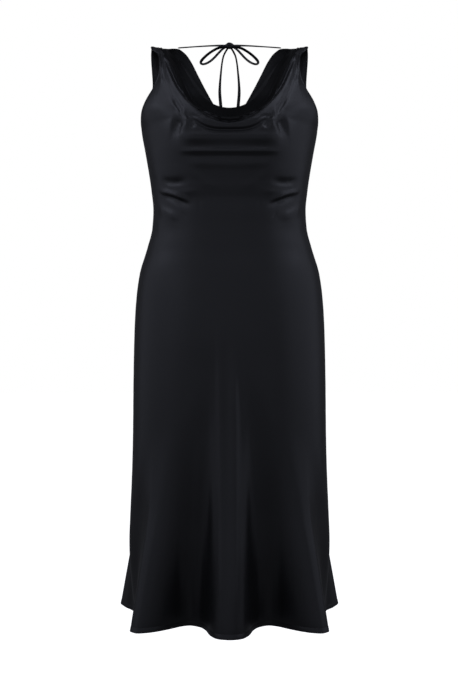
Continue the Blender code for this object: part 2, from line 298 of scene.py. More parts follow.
def flatTube(name, line, turned, look, material):
    # a closed tube of flattened section along a line, turned about it as said at each of the line's points
    width, thick, sides = look["width"] * mm, look["thick"] * mm, look["sides"]
    ahead = np.gradient(line, axis=0)
    ahead /= np.linalg.norm(ahead, axis=1)[:, None]
    across = np.cross(ahead, (0.0, 1.0, 0.0))
    across /= np.maximum(np.linalg.norm(across, axis=1), 1e-6)[:, None]
    for i in range(1, len(across)):
        if across[i] @ across[i - 1] < 0:
            across[i] *= -1
    deep = np.cross(across, ahead)
    turn = np.radians(turned)[:, None]
    wide = across * np.cos(turn) + deep * np.sin(turn)
    thin = np.cross(ahead, wide)
    around = np.linspace(0, 2 * math.pi, sides, endpoint=False)
    place = np.arange(len(line))
    ends = np.minimum(1, look["tip"] + np.minimum(place, place[::-1]) * look["tipGrowth"])[:, None]
    rings = [
        line + wide * ends * (width / 2 * math.cos(a)) + thin * ends * (thick / 2 * math.sin(a))
        for a in around
    ]
    points = np.stack(rings, axis=1).reshape(-1, 3)
    mesh = bpy.data.meshes.new(name)
    mesh.from_pydata(points.tolist(), [], tubeFaces(len(line), sides))
    layer = mesh.uv_layers.new(name="cloth")
    length = np.concatenate([[0], np.cumsum(np.linalg.norm(np.diff(line, axis=0), axis=1))])
    for loop in mesh.loops:
        ring, side = divmod(loop.vertex_index, sides)
        layer.data[loop.index].uv = (side / sides * 2 * (width + thick), length[ring])
    tidy = bmesh.new()
    tidy.from_mesh(mesh)
    bmesh.ops.recalc_face_normals(tidy, faces=tidy.faces)
    tidy.to_mesh(mesh)
    tidy.free()
    mesh.shade_smooth()
    return addPiece(name, mesh, material)


strings = {}
route = dict(zip(tie["columns"], smoothRoute(tie["route"], tie["step"]).T))
for sideName, side in (("Left", 1), ("Right", -1)):
    line = np.stack([side * route["x"], route["y"], route["z"]], axis=1) * mm
    strings[sideName] = (flatTube("tie" + sideName, line, side * route["turned"], tie, tieSatin), line)
print("strings made")

# The bow's knot: the string wrapped round the crossing, an arch that is full in the middle and thinner at its
# sides.
knot = {
    "centre": (0.0, 120.8, 37.2), "half": (17.0, 7.5, 6.6), "segments": 40, "rings": 24,
    "ends": 0.62, "peak": 0.5, "droop": 4.4, "droopShape": 1.5,
    "wraps": 4, "ridge": 0.06, "ridgeAcross": 0.92, "ridgeUp": 0.22,
}


def bowKnot():
    made = bmesh.new()
    bmesh.ops.create_uvsphere(made, u_segments=knot["segments"], v_segments=knot["rings"], radius=1.0)
    for vertex in made.verts:
        x, y, z = vertex.co
        full = knot["ends"] + (1 - knot["ends"]) * math.exp(-((x / knot["peak"]) ** 2))
        around = x * knot["ridgeAcross"] + knot["ridgeUp"] * z
        strands = full * (1 + knot["ridge"] * math.cos(math.pi * knot["wraps"] * around))
        droop = (0.0, 0.0, -knot["droop"] * abs(x) ** knot["droopShape"])
        vertex.co = [
            (centre + half * value * grow + down) * mm
            for centre, half, value, grow, down in zip(
                knot["centre"], knot["half"], (x, y, z), (1.0, strands, strands), droop
            )
        ]
    mesh = bpy.data.meshes.new("bowKnot")
    made.to_mesh(mesh)
    made.free()
    layer = mesh.uv_layers.new(name="cloth")
    for loop in mesh.loops:
        place = mesh.vertices[loop.vertex_index].co
        layer.data[loop.index].uv = (place.x + place.y, place.z)
    mesh.shade_smooth()
    return addPiece("bowKnot", mesh, tieSatin)


bow = bowKnot()
print("knot made")

# The worn form in level sections, half an ellipse to the front and half to the back, apart at the armhole.
form = {
    "bodyColumns": ("height", "halfWidth", "front", "back", "armhole"),
    "body": (
        (0, 171.0, 0, 0, 0), (-4, 172.5, 13, 34, 6), (-12, 173.2, 25, 62, 13), (-25, 173.5, 42, 80, 22),
        (-44, 172.8, 66, 96, 32), (-75, 171.5, 93, 110, 41), (-107, 177.0, 116, 119, 44),
        (-135, 187.0, 127, 124, 40), (-158, 192.0, 137, 126, 31), (-176, 192.6, 143, 126, 17),
        (-185, 192.0, 146, 126, 6),
        (-192, 191.2, 149, 126, 0), (-240, 182.0, 152, 119, 0), (-280, 175.2, 146, 111, 0),
        (-320, 169.6, 135, 105, 0), (-360, 166.2, 126, 103, 0), (-400, 168.8, 127, 109, 0),
        (-447, 181.0, 132, 123, 0), (-500, 197.0, 138, 141, 0), (-553, 204.3, 142, 153, 0),
        (-620, 208.4, 143, 158, 0), (-700, 210.5, 141, 156, 0), (-850, 212.2, 137, 150, 0),
        (-1000, 216.8, 140, 150, 0), (-1100, 229.0, 146, 155, 0), (-1180, 238.0, 151, 160, 0),
        (-1250, 245.0, 156, 165, 0),
    ),
    "shoulderColumns": ("across", "rise"),
    "shoulder": (
        (0, 60), (80, 45), (99, 31), (113.5, 20), (125, 11), (140, 1), (152, -3), (160, -2), (172, 0),
        (180, 0),
    ),
    "shoulderFade": 110.0,
    "fluteColumns": ("turn", "out", "start"),
    "flutes": (
        (0, 44, -660), (5, 37, -660), (9, 12, -670), (12.5, -26, -700), (17, -48, -740), (23, -56, -790),
        (28, -44, -810), (32, -18, -820), (36, 10, -830), (40, 32, -840), (44, 44, -850), (48, 40, -850),
        (53, 14, -860), (64, -30, -900), (80, -38, -1000), (93, -40, -1000), (106, -20, -860),
        (112, 10, -780), (120, 47, -740), (130, 30, -760), (141, -12, -800), (151, -34, -830),
        (161, -14, -800), (171, 24, -780), (180, 38, -780),
    ),
    "fluteGrowth": 1.6,
    "sagShape": 1.5,
    "underarm": -192.0,
    "hem": -1250.0,
    "skirtStart": -470.0,
    "skirtRows": 15,
    "bust": {"across": 88.0, "height": -222.0, "out": 8.0, "spread": 52.0},
}

# What both panels share: their wall in mm, how closely their points lie, beside the seams and by the hem too,
# and how their folds are written and drawn.
cloth = {
    "wall": 0.9,
    "columns": 172,
    "closeBy": (0.12, 0.3, 0.6),
    "hemSteps": (0.21, 0.195, 0.18, 0.165, 0.15, 0.04, 0.015, 0.005),
    "foldColumns": ("name", "out", "up", "down", "fade", "path"),
    "pathStep": 4.0,
    "sharpFrom": 55.0,
}
body = tableCurves(form["bodyColumns"], form["body"], "height")
shoulderRise = tableCurves(form["shoulderColumns"], form["shoulder"], "across")["rise"]
flutes = tableCurves(form["fluteColumns"], form["flutes"], "turn")


def formPoints(side, turn, height, proud):
    # points in mm on the front or the back: turn in radians from its centre, height and proud in mm
    wide, gap, deep = body["halfWidth"](height), body["armhole"](height), body[side](height)
    fromFront = np.abs(np.degrees(turn))
    if side == "back":
        fromFront = 180 - fromFront
    start = flutes["start"](fromFront)
    opened = np.clip((start - height) / (start - form["hem"]), 0, 1) ** form["fluteGrowth"]
    out = proud + flutes["out"](fromFront) * opened
    if side == "front":
        bust = form["bust"]
        beside = np.abs(wide * np.sin(turn)) - bust["across"]
        away = np.hypot(beside, height - bust["height"]) / bust["spread"]
        out = out + bust["out"] * np.exp(-away * away)
    facingX, facingY = deep * np.sin(turn), wide * np.cos(turn)
    length = np.maximum(np.hypot(facingX, facingY), 1e-6)
    x = wide * np.sin(turn) + out * facingX / length
    y = gap + (deep - gap) * np.cos(turn) + out * facingY / length
    z = height + shoulderRise(np.abs(x)) * (1 - smoothStep(-height / form["shoulderFade"]))
    return np.stack([x, (-1 if side == "front" else 1) * y, z], axis=-1)


def hang(share, flat):
    # how much of its sag a hanging row has at a share of the way from its centre to its end
    return np.maximum(0.0, 1.0 - np.abs(share) ** flat) ** form["sagShape"]


def skirtRows(extra):
    # level rows from the hips to the hem, each with the further columns that the panel's table has
    heights = np.linspace(form["skirtStart"], form["hem"], form["skirtRows"])
    return tuple((height, height, 90.0) + extra for height in heights)


def fineRows(counts):
    # finer rows between the table's own: counts says at which row a stretch ends, and its rows for each step
    rows, at = [], 0
    for end, count in counts:
        rows += [at + i / count for i in range(round((end - at) * count))]
        at = end
    rows += [at - step for step in cloth["hemSteps"]]
    return np.unique(np.array(rows + [at], float))[:, None]


def fineShares():
    # even columns, with a few closer ones beside each seam
    inner = np.linspace(-1, 1, cloth["columns"])
    last = inner[-1] - inner[-2]
    close = np.array([1 - last * part for part in cloth["closeBy"]])
    return np.unique(np.concatenate([inner, close, -close]))[None, :]


def gridNormals(points):
    down, over = np.gradient(points, axis=0), np.gradient(points, axis=1)
    normals = np.cross(down, over)
    return normals / np.maximum(np.linalg.norm(normals, axis=-1), 1e-9)[..., None]


def nearPath(points, path):
    # for every point: how far the path is, on which side, and how far along the path its nearest place lies
    away = np.full(len(points), np.inf)
    side, share = np.zeros(len(points)), np.zeros(len(points))
    lengths = np.concatenate([[0], np.cumsum(np.linalg.norm(np.diff(path, axis=0), axis=1))])
    for i in range(len(path) - 1):
        start, run = path[i], path[i + 1] - path[i]
        t = np.clip(((points - start) @ run) / max(run @ run, 1e-9), 0, 1)
        gap = points - start - t[:, None] * run
        far = np.linalg.norm(gap, axis=1)
        near = far < away
        reached = lengths[i] + t * (lengths[i + 1] - lengths[i])
        away[near], share[near] = far[near], reached[near] / lengths[-1]
        side[near] = (run[0] * gap[:, 2] - run[2] * gap[:, 0])[near]
    return away, side, share


def pathLine(path):
    # a fold's path, given across and up, as evenly spaced places in the picture's plane
    return smoothRoute([(x, 0, z) for x, z in path], cloth["pathStep"])


def raiseFolds(points, folds, firstRow, mirrored):
    # how far a panel's points are lifted by its folds, in mm; mirrored folds are drawn where x is negative
    lift = np.zeros(points.shape[:2])
    flat = points.reshape(-1, 3)
    if mirrored:
        flat = np.stack([-np.abs(flat[:, 0]), flat[:, 1], flat[:, 2]], axis=1)
    outer = points[firstRow:].reshape(-1, 3)
    for fold in folds:
        fold = dict(zip(cloth["foldColumns"], fold))
        drawn = pathLine(fold["path"])
        for place in drawn:
            place[1] = outer[np.argmin((outer[:, 0] - place[0]) ** 2 + (outer[:, 2] - place[2]) ** 2), 1]
        reach = 3 * max(fold["up"], fold["down"])  # beyond this a fold has faded to nothing
        near = np.all((flat > drawn.min(0) - reach) & (flat < drawn.max(0) + reach), axis=1)
        if not near.any():
            continue
        away, side, share = nearPath(flat[near], drawn)
        width = np.where(side > 0, fold["up"], fold["down"])
        fadeIn = smoothStep(share / fold["fade"]) if fold["fade"] else 1.0
        goesOn = mirrored and abs(fold["path"][-1][0]) < 1e-6
        fadeOut = 1.0 if goesOn else smoothStep((1 - share) / max(fold["fade"], 1e-3))
        lift.reshape(-1)[near] += fold["out"] * np.exp(-((away / width) ** 2)) * fadeIn * fadeOut
    return lift


def clothSheet(name, points, shown, *materials):
    # a panel from its grid of points in mm, with cloth coordinates in metres and a thin wall whose inner side
    # has the last material. shown is the number of each outer face's material.
    rows, columns = points.shape[:2]
    mesh = bpy.data.meshes.new(name)
    index = np.arange(rows * columns).reshape(rows, columns)
    quads = np.stack([index[:-1, :-1], index[1:, :-1], index[1:, 1:], index[:-1, 1:]], axis=-1).reshape(-1, 4)
    mesh.from_pydata((points.reshape(-1, 3) * mm).tolist(), [], quads.tolist())
    across = np.linalg.norm(np.diff(points, axis=1), axis=-1)
    across = np.concatenate([np.zeros((rows, 1)), np.cumsum(across, axis=1)], axis=1)
    across -= across[:, columns // 2][:, None]
    down = np.linalg.norm(np.diff(points, axis=0), axis=-1)
    down = np.concatenate([np.zeros((1, columns)), np.cumsum(down, axis=0)], axis=0)
    place = np.stack([across, -down], axis=-1).reshape(-1, 2) * mm
    layer = mesh.uv_layers.new(name="cloth")
    corners = np.zeros(len(mesh.loops), np.int32)
    mesh.loops.foreach_get("vertex_index", corners)
    layer.data.foreach_set("uv", place[corners].astype(np.float32).ravel())
    sheet = addPiece(name, mesh, *materials)
    mesh.polygons.foreach_set("material_index", shown.astype(np.int32).ravel())
    layered = sheet.modifiers.new("wall", "SOLIDIFY")
    layered.thickness = cloth["wall"] * mm
    layered.offset = -1.0
    layered.material_offset = len(materials) - 1
    walled = bpy.data.meshes.new_from_object(sheet.evaluated_get(bpy.context.evaluated_depsgraph_get()))
    sheet.modifiers.clear()
    sheet.data = walled
    bpy.data.meshes.remove(mesh)
    walled.name = name
    walled.shade_smooth()
    walled.set_sharp_from_angle(angle=math.radians(cloth["sharpFrom"]))
    return sheet


# The front panel. Its rows run from the cowl's free edge, over its roll, down to the hem.
# A fold's path is drawn on the half where x is negative, in mm across and up, and is mirrored, but ownFolds
# are not. Up and down are how far a fold reaches to the left and to the right of its run.
front = {
    "rowCounts": ((11, 12), (15, 14), (17, 7), (31, 4)),
    "rowColumns": ("centre", "end", "reach", "flat", "proud"),
    "rows": (
        (-157, 0, 61.0, 2.00, -37), (-178, 0, 61.6, 2.00, -29), (-193, 0, 62.1, 2.00, -24),
        (-195, 0, 62.6, 2.00, -6), (-191, 0, 63.1, 2.00, 8), (-200, 0, 67.0, 2.10, 9.5),
        (-212, 0, 74.0, 2.40, 7), (-226, 0, 90.0, 2.70, 5), (-241, -30, 90.0, 2.90, 4),
        (-256, -70, 90.0, 3.00, 3.2), (-272, -112, 90.0, 3.00, 3), (-292, -152, 90.0, 2.90, 4),
        (-316, -192, 90.0, 2.80, 6), (-345, -250, 90.0, 2.60, 8), (-374, -310, 90.0, 2.40, 8),
        (-402, -360, 90.0, 2.30, 5.5), (-433, -412, 90.0, 2.20, 2.5),
    ),
    # the armhole's edge lies farther in than the back's, so that the back's inner side shows beside it
    "armholeColumns": ("height", "reach"),
    "armhole": (
        (-5, 90), (-9, 78), (-14, 71.1), (-22, 63.2), (-34, 60.4), (-56, 60.1), (-76, 61.6), (-96, 63.8),
        (-112, 67.2), (-126, 71.2), (-140, 75.8), (-160, 82.4), (-176, 87.4), (-192, 90),
    ),
    "armholeFrom": 50.0,
    "skirt": (2.2, 0.0),
    "lap": 0.15,
    # the dark dull-side material is painted shade on the cowl's facing inside its crest, which lies by the
    # table's row crestAt: from crestWidth inside its line at the centre, and crestRoll farther out towards
    # the shoulders
    "crestAt": 4,
    "crestMargin": 3,
    "crestWidth": 1.6,
    "crestRoll": 6.5,
    "crestRollFrom": 150.0,
    "crestRows": 120,
    "folds": (
        ("crestLip", 3.4, 2.6, 2.0, 0.08, (
            (-138, -30), (-128, -45), (-118, -74), (-105, -107), (-88, -133), (-70, -153.5), (-53, -171),
            (-37, -183.6), (-18, -190.6), (0, -192.8),
        )),
        ("crestGroove", -3.8, 2.4, 3.2, 0.08, (
            (-141, -38), (-126, -72), (-117, -94), (-108, -114), (-95, -133), (-83, -148), (-72, -160),
            (-61, -170.5), (-48, -180.4), (-36, -187.6), (-24, -192.8), (-11, -196), (0, -197.4),
        )),
        ("rollUndercut", -4.0, 3.0, 4.2, 0.18, (
            (-84, -186), (-73, -193), (-61, -202), (-48, -209), (-36, -212.4), (-24, -214.2), (0, -215),
        )),
        ("rollSecond", -1.2, 2.4, 3.0, 0.30, (
            (-98, -181.6), (-86, -184.9), (-73, -184), (-61, -191), (-48, -199),
        )),
        ("rollPocket", -3.2, 4.0, 5.5, 0.35, ((-82, -190), (-77, -201), (-68, -208))),
        ("shoulderTrough", -1.8, 5.0, 5.0, 0.30, (
            (-145, -59), (-141, -80), (-134, -96), (-130, -110), (-124, -125), (-116, -144), (-110, -156),
            (-104, -166), (-100, -175), (-97, -184),
        )),
        ("shoulderTroughEnd", -2.0, 5.0, 4.0, 0.40, ((-121, -133), (-110, -156), (-100, -175), (-97, -188))),
        ("pinchRib", 1.3, 3.0, 3.0, 0.35, ((-112, -160), (-106, -174), (-101, -187), (-96, -195))),
        ("dimple", -7.5, 8.0, 26.0, 0.42, ((-121, -190), (-108, -195), (-93, -199))),
        ("pinchRidge", 2.8, 4.2, 4.2, 0.34, (
            (-97, -158), (-94, -173.5), (-92, -184.4), (-87, -194), (-89, -203), (-95, -216),
        )),
        ("drape1", 2.2, 6.5, 13.0, 0.40, (
            (-112, -220), (-100, -223), (-73, -225.6), (-36, -226.4), (0, -226.6),
        )),
        ("drape2", -0.5, 7.0, 8.0, 0.40, ((-114, -236), (-94, -239), (-48, -241), (0, -241.4))),
        ("drape4", -1.8, 10.0, 2.8, 0.40, ((-108, -244), (-81, -247.6), (-48, -249), (0, -249.4))),
        ("drape5", 1.7, 3.4, 4.0, 0.42, ((-112, -252), (-94, -255), (-48, -257), (0, -257.8))),
        ("drape6", -1.0, 4.5, 6.0, 0.40, ((-106, -263), (-73, -266.4), (-48, -268), (0, -268.8))),
        ("drape7", 1.2, 6.0, 10.0, 0.45, ((-96, -275), (-61, -279.6), (0, -281.4))),
        ("sideSlack", -3.8, 9.0, 6.0, 0.40, (
            (-150, -304), (-134, -312), (-121, -316), (-104, -317), (-82, -316),
        )),
        ("sideRidge", 5.0, 6.5, 4.6, 0.34, (
            (-152, -328), (-126, -337), (-110, -343), (-99, -349), (-80, -359),
        )),
        ("sideRidgeUpper", 1.3, 5.0, 12.0, 0.42, ((-126, -334), (-104, -336), (-84, -336), (-60, -333))),
        ("sideCrease", -3.6, 4.4, 8.0, 0.34, (
            (-150, -335), (-124, -344.5), (-110, -351), (-98, -357), (-76, -368),
        )),
        ("sidePad", 3.4, 9.0, 14.0, 0.35, ((-156, -360), (-136, -374), (-116, -386), (-100, -394))),
        ("sideTick1", -1.0, 2.6, 3.0, 0.35, ((-131, -389), (-117, -394.5), (-102, -400))),
        ("sideTick2", -0.8, 2.6, 3.0, 0.35, ((-100, -374), (-96, -383), (-88, -391))),
        ("sideTick3", -0.8, 3.5, 3.5, 0.35, ((-163, -380), (-159, -402), (-151, -424))),
        ("ribLine", -0.5, 4.0, 4.0, 0.40, ((-64, -342), (-62, -364), (-64, -387))),
        ("ribCurve", 0.6, 9.0, 10.0, 0.40, (
            (-99, -287), (-78, -297), (-63, -308), (-51, -318), (-32, -327), (-14, -334),
        )),
        ("gather1", 0.8, 1.6, 1.6, 0.30, ((-167.5, 8), (-168.5, -6), (-169.5, -20))),
        ("gather2", 0.9, 1.5, 1.5, 0.30, ((-163.5, 8), (-164, -6), (-165, -18))),
        ("gather3", 0.9, 1.6, 1.5, 0.30, ((-159.5, 8), (-159.5, -8), (-160, -24))),
        ("gather4", 1.1, 1.8, 2.2, 0.30, ((-156.5, 8), (-155, -12), (-151, -34))),
        ("strapRib", 1.6, 3.0, 3.5, 0.30, ((-155, 0), (-151, -30), (-148, -56), (-146, -84), (-144, -116))),
        ("strapFurrow", -1.4, 2.6, 2.6, 0.35, ((-151, -14), (-147.5, -34), (-144, -56), (-141, -76))),
        ("strapSwell", 1.4, 4.0, 4.0, 0.35, ((-152, -4), (-143, -28), (-136, -52), (-130, -80))),
    ),
    "ownFolds": (
        ("skirtRidgeRight", 8.0, 7.0, 13.0, 0.24, (
            (6, -640), (10, -760), (11, -900), (11, -1080), (11, -1300),
        )),
        ("skirtRidgeLeft", 4.6, 9.0, 7.0, 0.24, (
            (-26, -560), (-20, -700), (-17, -900), (-16, -1080), (-15, -1300),
        )),
        ("skirtRibLeft", 1.6, 8.0, 9.0, 0.30, ((-62, -820), (-68, -960), (-72, -1100), (-74, -1290))),
        ("hipSwell", 2.0, 40.0, 46.0, 0.40, ((-96, -500), (-60, -610), (-34, -730))),
        ("hipHollow", -1.6, 30.0, 30.0, 0.40, ((34, -520), (62, -640), (70, -760))),
    ),
    "cut": {"width": 0.87, "length": 1.35, "area": 0.69},
}

# What finishes both panels' edges: the side seams' dip and pucker, the armholes' binding and the turned hem.
edges = {
    "seamFade": 20.0, "seamDepth": 0.6, "seamReach": 4.0,
    "pucker": 0.18, "puckerAt": 6.0, "puckerWidth": 6.0,
    "puckerPitch": 13.0, "puckerMix": (0.6, 0.4), "puckerRatio": 1.618,
    "boundFrom": 6.0, "boundFade": 10.0, "proud": 0.6, "proudWidth": 2.4,
    "boundDip": 0.4, "boundDipAt": 6.0, "boundDipWidth": 1.8,
    "hemHeight": 10.0, "hemDip": 0.35, "hemReach": 1.6, "hemSwell": 0.35, "hemSwellPast": 2.0, "hemFade": 4.0,
}


def frontPoints(share, row, curves):
    fall = hang(share, curves["flat"](row))
    end = curves["end"](row)
    height = end + (curves["centre"](row) - end) * fall
    turn = share * curves["reach"](row)
    last = tableCurves(front["armholeColumns"], front["armhole"], "height")["reach"](height)
    first = front["armholeFrom"]
    over = np.maximum(np.abs(turn) - first, 0)
    turn = np.sign(turn) * (np.minimum(np.abs(turn), first) + over * (last - first) / (90 - first))
    return formPoints("front", np.radians(turn), height, curves["proud"](row) * np.sqrt(fall))


def edgeLift(points):
    # the dip along the side seams, the bound armhole edge and the turned hem, in mm
    lift = np.zeros(points.shape[:2])
    steps = np.linalg.norm(np.diff(points, axis=1), axis=-1)
    fromLeft = np.concatenate([np.zeros((len(points), 1)), np.cumsum(steps, axis=1)], axis=1)
    away = np.minimum(fromLeft, fromLeft[:, -1:] - fromLeft)
    height = points[..., 2]
    endHeight = np.minimum(height[:, :1], height[:, -1:])
    seam = smoothStep((form["underarm"] - endHeight) / edges["seamFade"])
    phase = 2 * math.pi * height / edges["puckerPitch"]
    first, second = edges["puckerMix"]
    wave = first * np.sin(phase) + second * np.sin(phase / edges["puckerRatio"])
    lift -= seam * edges["seamDepth"] * np.exp(-((away / edges["seamReach"]) ** 2))
    pucker = np.exp(-(((away - edges["puckerAt"]) / edges["puckerWidth"]) ** 2))
    lift += seam * edges["pucker"] * wave * pucker
    bound = (1 - seam) * smoothStep((-endHeight - edges["boundFrom"]) / edges["boundFade"])
    lift += bound * edges["proud"] * np.exp(-((away / edges["proudWidth"]) ** 2))
    dip = np.exp(-(((away - edges["boundDipAt"]) / edges["boundDipWidth"]) ** 2))
    lift -= bound * edges["boundDip"] * dip
    above = height - form["hem"] - edges["hemHeight"]
    lift += edges["hemSwell"] * smoothStep((edges["hemSwellPast"] - above) / edges["hemFade"])
    lift -= edges["hemDip"] * np.exp(-((above / edges["hemReach"]) ** 2))
    return lift


def finishGrid(points, look, firstRow):
    # a panel's points with its edges and folds raised, and its side edges brought together below the armholes
    lift = edgeLift(points) + raiseFolds(points, look["folds"], firstRow, True)
    lift = lift + raiseFolds(points, look["ownFolds"], firstRow, False)
    points = points + gridNormals(points) * lift[..., None]
    for end in (0, -1):
        points[:, end, 1] = np.where(points[:, end, 2] < form["underarm"], look["lap"], points[:, end, 1])
    return points


def paintedShadeFaces(points, crestRow):
    # which of the front's outer faces get the dark dull-side material as painted shade: those that lie inside
    # the line of the cowl's crest
    dull = np.zeros((points.shape[0] - 1, points.shape[1] - 1))
    top = front["crestRows"]
    inner = points[:top, :-1].reshape(-1, 3) * (1, 0, 1)
    inner[:, 0] = -np.abs(inner[:, 0])
    crest = next(fold for fold in front["folds"] if fold[0] == "crestLip")[-1]
    away, side, share = nearPath(inner, pathLine(crest))
    roll = front["crestRoll"] * smoothStep(-inner[:, 0] / front["crestRollFrom"])
    inside = np.where(side > 0, away, -away) + roll
    dull[:top] = (inside > front["crestWidth"]).reshape(top, -1)
    dull[: crestRow - front["crestMargin"]] = 1
    return dull


frontCurves = tableCurves(front["rowColumns"], front["rows"] + skirtRows(front["skirt"]))
rows = fineRows(front["rowCounts"])
crestRow = int(np.searchsorted(rows[:, 0], front["crestAt"]))
frontGrid = finishGrid(frontPoints(fineShares(), rows, frontCurves), front, crestRow)
# the cowl's facing inside the crest gets the dark dull side as painted shade
frontSheet = clothSheet("frontPanel", frontGrid, paintedShadeFaces(frontGrid, crestRow), frontSatin, dullSideAndShade)
print("front made", frontGrid.shape, len(frontSheet.data.polygons))

# The back panel. Its rows run from the edge of the V down to the hem.
back = {
    "rowCounts": ((12, 13), (26, 4)),
    "rowColumns": ("centre", "end", "reach", "ease"),
    "rows": (
        (-149, 0, 63.1, 0.00), (-163, 0, 71.0, 0.32), (-179, 0, 90.0, 0.60), (-196, -30, 90.0, 0.82),
        (-214, -70, 90.0, 0.95), (-234, -112, 90.0, 1.00), (-256, -152, 90.0, 1.00),
        (-284, -192, 90.0, 1.00), (-322, -250, 90.0, 1.00), (-358, -310, 90.0, 1.00),
        (-392, -360, 90.0, 1.00), (-429, -412, 90.0, 1.00),
    ),
    "flat": 2.2,
    "skirt": (1.0,),
    "lap": 0.0,
    "napeColumns": ("across", "height"),
    "nape": (
        (0, -149), (10, -143), (22, -126), (31, -109), (45, -91), (61, -72.5), (77, -53.5), (90, -36.5),
        (99, -25), (116, -10), (132, -4), (142.5, -1.7), (153, 0),
    ),
    "folds": (
        ("napeRoll", 0.8, 2.6, 2.6, 0.05, (
            (-118, -12), (-99, -28), (-90, -39), (-77, -56), (-61, -75), (-45, -93), (-31, -111), (-22, -128),
            (-10, -145), (0, -151),
        )),
        ("bladeDrag1", 1.8, 9.0, 7.0, 0.35, ((-150, -150), (-120, -160), (-90, -178), (-60, -200))),
        ("bladeDrag2", -1.6, 6.0, 7.0, 0.35, ((-160, -172), (-130, -180), (-100, -196), (-74, -216))),
        ("waistCrease1", -2.2, 3.0, 5.0, 0.30, (
            (-160, -300), (-140, -310), (-116, -322), (-92, -326), (-70, -324),
        )),
        ("waistRidge1", 1.8, 5.0, 4.0, 0.30, ((-160, -285), (-136, -294), (-110, -304), (-84, -306))),
        ("waistCrease2", -1.8, 3.0, 5.0, 0.30, (
            (-156, -352), (-134, -346), (-110, -346), (-88, -354), (-66, -366),
        )),
        ("waistRidge2", 1.6, 5.0, 5.0, 0.35, ((-150, -336), (-126, -334), (-100, -336), (-76, -344))),
        ("waistPad", 1.8, 10.0, 12.0, 0.35, ((-150, -378), (-120, -372), (-90, -380), (-60, -394))),
        ("smallBack", -1.4, 9.0, 9.0, 0.25, ((-60, -318), (-30, -326), (0, -328))),
        ("seatDrag", -1.6, 10.0, 8.0, 0.35, ((-70, -640), (-36, -652), (0, -656))),
        ("gather1", 0.8, 1.6, 1.6, 0.30, ((-167.5, 8), (-168.5, -8), (-170, -24))),
        ("gather2", 0.9, 1.6, 1.6, 0.30, ((-162, 8), (-162, -8), (-162, -26))),
        ("gather3", 0.9, 1.8, 1.8, 0.30, ((-156, 8), (-154, -10), (-150, -32))),
        ("shoulderFall", -1.4, 5.0, 6.0, 0.35, ((-146, -20), (-138, -60), (-128, -100), (-112, -136))),
    ),
    "ownFolds": (
        ("seatRidge", 3.0, 12.0, 10.0, 0.35, ((16, -700), (10, -900), (6, -1100), (4, -1300))),
        ("seatRib", 1.8, 9.0, 9.0, 0.35, ((-70, -760), (-84, -940), (-92, -1120), (-96, -1300))),
    ),
    "cut": {"width": 0.83, "length": 1.31, "area": 0.685},
}


def backPoints(share, row, curves):
    nape = dict(zip(back["napeColumns"], np.array(back["nape"], float).T))
    turns = np.degrees(np.arcsin(nape["across"] / body["halfWidth"](nape["height"])))
    top = dict(zip(back["rowColumns"], back["rows"][0]))
    napeFall = smoothCurve(turns, nape["height"])(np.abs(share * top["reach"])) / top["centre"]
    ease = curves["ease"](row)
    fall = (1 - ease) * napeFall + ease * hang(share, back["flat"])
    end = curves["end"](row)
    height = end + (curves["centre"](row) - end) * fall
    return formPoints("back", np.radians(share * curves["reach"](row)), height, 0.0)


backCurves = tableCurves(back["rowColumns"], back["rows"] + skirtRows(back["skirt"]))
backGrid = finishGrid(backPoints(fineShares(), fineRows(back["rowCounts"]), backCurves)[:, ::-1], back, 0)
shiny = np.zeros((backGrid.shape[0] - 1, backGrid.shape[1] - 1))
backSheet = clothSheet("backPanel", backGrid, shiny, backSatin, backInside)
print("back made", backGrid.shape, len(backSheet.data.polygons))

# Stitches: one short thread after another along a line on the cloth, made by nodes and then turned to a mesh.
stitching = {
    "pitch": 2.8, "long": 2.1, "thick": 0.42, "steps": 5, "sides": 6, "tip": 0.12,
    "unevenness": 0.06, "seed": 3,
    "armTop": -14.0, "armBottom": -188.0, "firstRow": 30, "clearOfSeam": 2,
    "runColumns": ("name", "panel", "line", "inset"),
    "runs": (
        ("frontHemStitch", "front", "hem", 10.0), ("backHemStitch", "back", "hem", 10.0),
        ("napeStitch", "back", "top", 4.0),
        ("frontArmStitchLeft", "front", "left", 4.5), ("frontArmStitchRight", "front", "right", 4.5),
        ("backArmStitchLeft", "back", "left", 4.5), ("backArmStitchRight", "back", "right", 4.5),
    ),
}
threadLook = {
    **satinLook, "grain": 0, "yarns": 2500, "floats": 2, "colour": (0.0130, 0.0130, 0.0140),
    "colourChange": 0.3, "roughness": 0.45, "roughnessChange": 0.05, "relief": 0.05,
}
thread = clothMaterial("stitchThread", threadLook)


def insetLine(grid, line, inset):
    # points in mm on a panel's outer side, a fixed way in from its hem, its top edge or one armhole
    if line in ("left", "right"):
        ends = grid[:, 0, 2] if line == "left" else grid[:, -1, 2]
        beside = (ends < stitching["armTop"]) & (ends > stitching["armBottom"])
        rows = np.nonzero(beside & (np.arange(len(grid)) > stitching["firstRow"]))[0]
        strips = grid[rows] if line == "left" else grid[rows][:, ::-1]
    else:
        clear = stitching["clearOfSeam"]
        strips = np.swapaxes(grid, 0, 1)[clear:-clear]
        strips = strips[:, ::-1] if line == "hem" else strips
    found = []
    for strip in strips:
        along = np.concatenate([[0], np.cumsum(np.linalg.norm(np.diff(strip, axis=0), axis=1))])
        found.append([np.interp(inset, along, strip[:, axis]) for axis in range(3)])
    return np.array(found)


